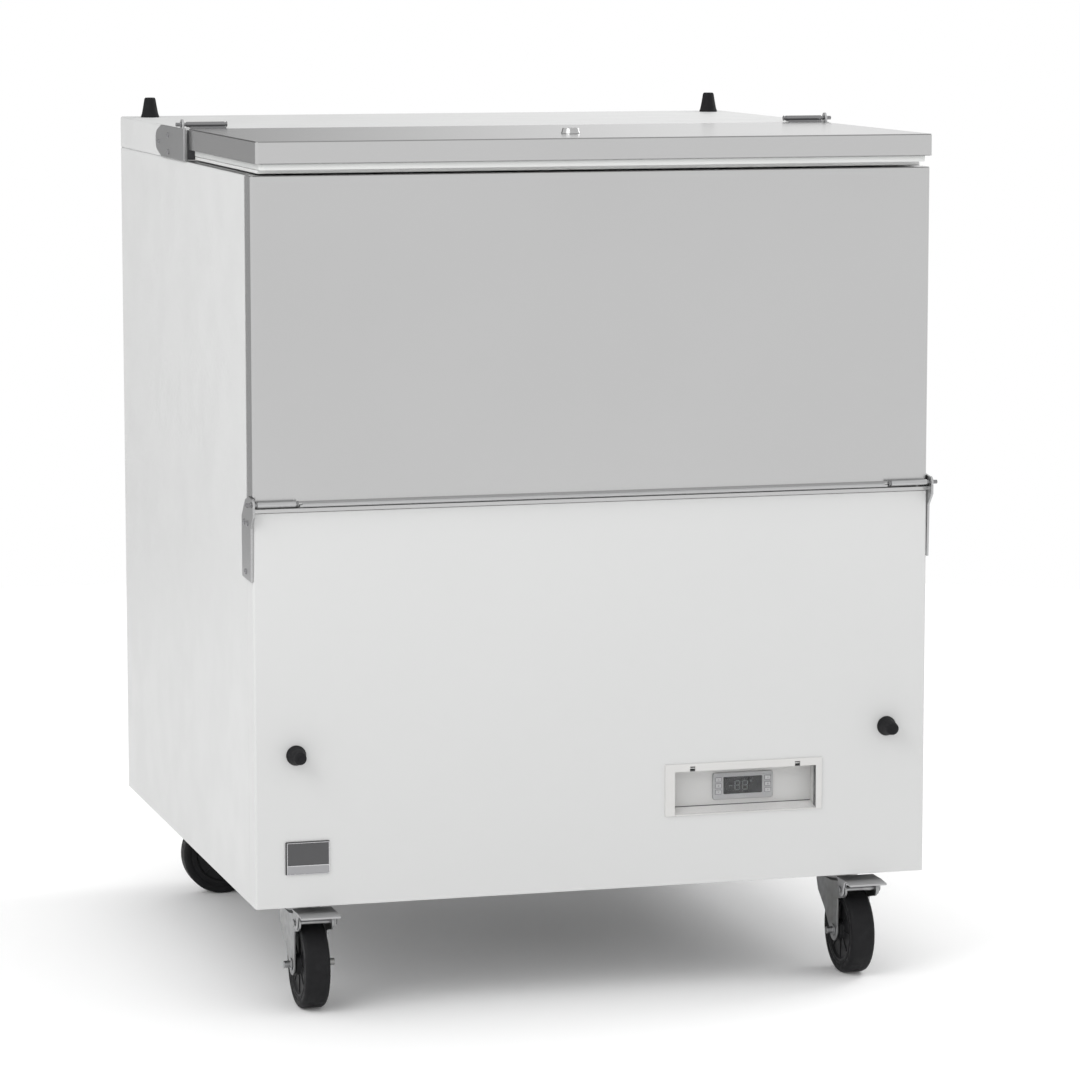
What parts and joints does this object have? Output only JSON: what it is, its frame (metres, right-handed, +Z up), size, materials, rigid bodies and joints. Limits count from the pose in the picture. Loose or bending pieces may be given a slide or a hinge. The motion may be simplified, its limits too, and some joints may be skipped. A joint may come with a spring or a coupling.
{
  "type": "drop-front chest cooler",
  "caption": "Chest cooler on swivel casters with a flip-up steel lid, a drop-down steel front door, a white cabinet and a controller in a covered recess.",
  "frame": {"origin": "on the floor, under the centre of the bounding box with every joint at rest", "axes": "+Z up, -Y towards the drop-front door, +X to the right seen from the front"},
  "size_m": [0.896, 0.877, 1.112],
  "materials": {
    "white_steel": "white powder coat, satin",
    "stainless": "satin stainless steel",
    "hinge_steel": "satin stainless hinge plate",
    "zinc_steel": "zinc plated pressed steel",
    "liner_white": "white liner",
    "tank_steel": "tank lining sheet",
    "foam": "rigid foam",
    "gasket_white": "soft white seal",
    "gasket_grey": "soft grey seal",
    "black_rubber": "matte black rubber",
    "tread": "matte black tread",
    "white_plastic": "white moulded plastic",
    "grey_plastic": "light grey moulded plastic",
    "key_plastic": "grey key caps",
    "display_glass": "gloss black window",
    "clear_cover": "clear polycarbonate",
    "badge_metal": "plain plate with a bright rim",
    "copper": "copper tube",
    "black_steel": "black enamel",
    "fin_metal": "fins and shroud",
    "wire_steel": "chromed wire",
    "black_plastic": "black moulded plastic",
    "lock_metal": "nickel plated lock"
  },
  "bodies": {
    "cabinet": {"base_pan": "zinc_steel", "side_panel_left": "white_steel", "side_panel_right": "white_steel", "front_panel": "white_steel", "rear_panel": "white_steel", "rear_grille": "white_steel", "sill_trim": "stainless", "opening_trim": "stainless", "rear_ledge": "white_steel", "insulation": "foam", "inner_liner": "tank_steel", "evaporator_coil": "copper", "compressor": "black_steel", "condenser": "fin_metal", "fan_motor": "fin_metal", "refrigerant_lines": "copper", "drain_fitting": "grey_plastic", "rubber_bumpers": "black_rubber", "lid_hinge_brackets": "hinge_steel", "door_hinge_brackets": "hinge_steel", "hinge_pins": "hinge_steel", "fasteners": "zinc_steel", "controller_bezel": "white_plastic", "controller_body": "grey_plastic", "display_window": "display_glass", "badge_plate": "badge_metal", "cable_gland": "black_plastic", "caster_plates": "zinc_steel"},
    "lid": {"lid_skin": "stainless", "lid_liner": "liner_white", "lid_foam": "foam", "lid_gasket": "gasket_white", "lid_hinge_leaves": "hinge_steel", "lock_body": "lock_metal"},
    "lock_plug": {"lock_plug": "lock_metal"},
    "drop_door": {"door_skin": "stainless", "door_liner": "liner_white", "door_foam": "foam", "door_gasket": "gasket_grey", "door_hinge_strip": "hinge_steel"},
    "fan_blade": {"fan_blade": "black_plastic"},
    "drain_plug": {"drain_plug": "black_rubber"},
    "floor_rack": {"floor_rack": "wire_steel"},
    "controller_cover": {"controller_cover": "clear_cover"},
    "key_left_top": {"key_left_top": "key_plastic"},
    "key_left_middle": {"key_left_middle": "key_plastic"},
    "key_left_bottom": {"key_left_bottom": "key_plastic"},
    "key_right_top": {"key_right_top": "key_plastic"},
    "key_right_middle": {"key_right_middle": "key_plastic"},
    "key_right_bottom": {"key_right_bottom": "key_plastic"},
    "caster_fork_front_left": {"caster_fork_front_left": "zinc_steel"},
    "caster_fork_front_right": {"caster_fork_front_right": "zinc_steel"},
    "caster_fork_rear_left": {"caster_fork_rear_left": "zinc_steel"},
    "caster_fork_rear_right": {"caster_fork_rear_right": "zinc_steel"},
    "caster_wheel_front_left": {"caster_wheel_front_left": "tread"},
    "caster_wheel_front_right": {"caster_wheel_front_right": "tread"},
    "caster_wheel_rear_left": {"caster_wheel_rear_left": "tread"},
    "caster_wheel_rear_right": {"caster_wheel_rear_right": "tread"},
    "brake_pedal_left": {"brake_pedal_left": "zinc_steel"},
    "brake_pedal_right": {"brake_pedal_right": "zinc_steel"}
  },
  "joints": [
    {"name": "lid_hinge", "type": "hinge", "parent": "cabinet", "child": "lid", "pos_m": [0, -0.0065, 1.09], "axis": [-1, 0, 0], "range_deg": [0, 177.4]},
    {"name": "drop_door_hinge", "type": "hinge", "parent": "cabinet", "child": "drop_door", "pos_m": [0, -0.4195, 0.644], "axis": [1, 0, 0], "range_deg": [0, 177.8]},
    {"name": "lock_turn", "type": "hinge", "parent": "lid", "child": "lock_plug", "pos_m": [0, -0.2935, 1.085], "axis": [0, 0, -1], "range_deg": [0, 90]},
    {"name": "cover_flap", "type": "hinge", "parent": "cabinet", "child": "controller_cover", "pos_m": [0, -0.411, 0.289], "axis": [1, 0, 0], "range_deg": [-100, 0]},
    {"name": "fan_spin", "type": "hinge", "parent": "cabinet", "child": "fan_blade", "pos_m": [0.18, 0.2525, 0.255], "axis": [0, -1, 0], "continuous": true},
    {"name": "rack_lift", "type": "slide", "parent": "cabinet", "child": "floor_rack", "axis": [0, 0, 1], "range_m": [0, 0.4]},
    {"name": "drain_plug_lift", "type": "slide", "parent": "cabinet", "child": "drain_plug", "axis": [0, 0, 1], "range_m": [0, 0.06]},
    {"name": "key_left_top_press", "type": "slide", "parent": "cabinet", "child": "key_left_top", "axis": [0, 1, 0], "range_m": [0, 0.0006], "stiffness_N_per_m": 400},
    {"name": "key_left_middle_press", "type": "slide", "parent": "cabinet", "child": "key_left_middle", "axis": [0, 1, 0], "range_m": [0, 0.0006], "stiffness_N_per_m": 400},
    {"name": "key_left_bottom_press", "type": "slide", "parent": "cabinet", "child": "key_left_bottom", "axis": [0, 1, 0], "range_m": [0, 0.0006], "stiffness_N_per_m": 400},
    {"name": "key_right_top_press", "type": "slide", "parent": "cabinet", "child": "key_right_top", "axis": [0, 1, 0], "range_m": [0, 0.0006], "stiffness_N_per_m": 400},
    {"name": "key_right_middle_press", "type": "slide", "parent": "cabinet", "child": "key_right_middle", "axis": [0, 1, 0], "range_m": [0, 0.0006], "stiffness_N_per_m": 400},
    {"name": "key_right_bottom_press", "type": "slide", "parent": "cabinet", "child": "key_right_bottom", "axis": [0, 1, 0], "range_m": [0, 0.0006], "stiffness_N_per_m": 400},
    {"name": "swivel_front_left", "type": "hinge", "parent": "cabinet", "child": "caster_fork_front_left", "pos_m": [-0.359, -0.3205, 0.128], "axis": [0, 0, 1], "continuous": true},
    {"name": "roll_front_left", "type": "hinge", "parent": "caster_fork_front_left", "child": "caster_wheel_front_left", "pos_m": [-0.359, -0.3555, 0.056], "axis": [1, 0, 0], "continuous": true},
    {"name": "swivel_front_right", "type": "hinge", "parent": "cabinet", "child": "caster_fork_front_right", "pos_m": [0.359, -0.3205, 0.128], "axis": [0, 0, 1], "continuous": true},
    {"name": "roll_front_right", "type": "hinge", "parent": "caster_fork_front_right", "child": "caster_wheel_front_right", "pos_m": [0.359, -0.3555, 0.056], "axis": [1, 0, 0], "continuous": true},
    {"name": "swivel_rear_left", "type": "hinge", "parent": "cabinet", "child": "caster_fork_rear_left", "pos_m": [-0.359, 0.3475, 0.128], "axis": [0, 0, 1], "continuous": true},
    {"name": "roll_rear_left", "type": "hinge", "parent": "caster_fork_rear_left", "child": "caster_wheel_rear_left", "pos_m": [-0.324, 0.3475, 0.056], "axis": [0, 1, 0], "continuous": true},
    {"name": "swivel_rear_right", "type": "hinge", "parent": "cabinet", "child": "caster_fork_rear_right", "pos_m": [0.359, 0.3475, 0.128], "axis": [0, 0, 1], "continuous": true},
    {"name": "roll_rear_right", "type": "hinge", "parent": "caster_fork_rear_right", "child": "caster_wheel_rear_right", "pos_m": [0.324, 0.3475, 0.056], "axis": [0, 1, 0], "continuous": true},
    {"name": "brake_left", "type": "hinge", "parent": "caster_fork_front_left", "child": "brake_pedal_left", "pos_m": [-0.359, -0.3895, 0.116], "axis": [1, 0, 0], "range_deg": [0, 12]},
    {"name": "brake_right", "type": "hinge", "parent": "caster_fork_front_right", "child": "brake_pedal_right", "pos_m": [0.359, -0.3895, 0.116], "axis": [1, 0, 0], "range_deg": [0, 12]}
  ]
}
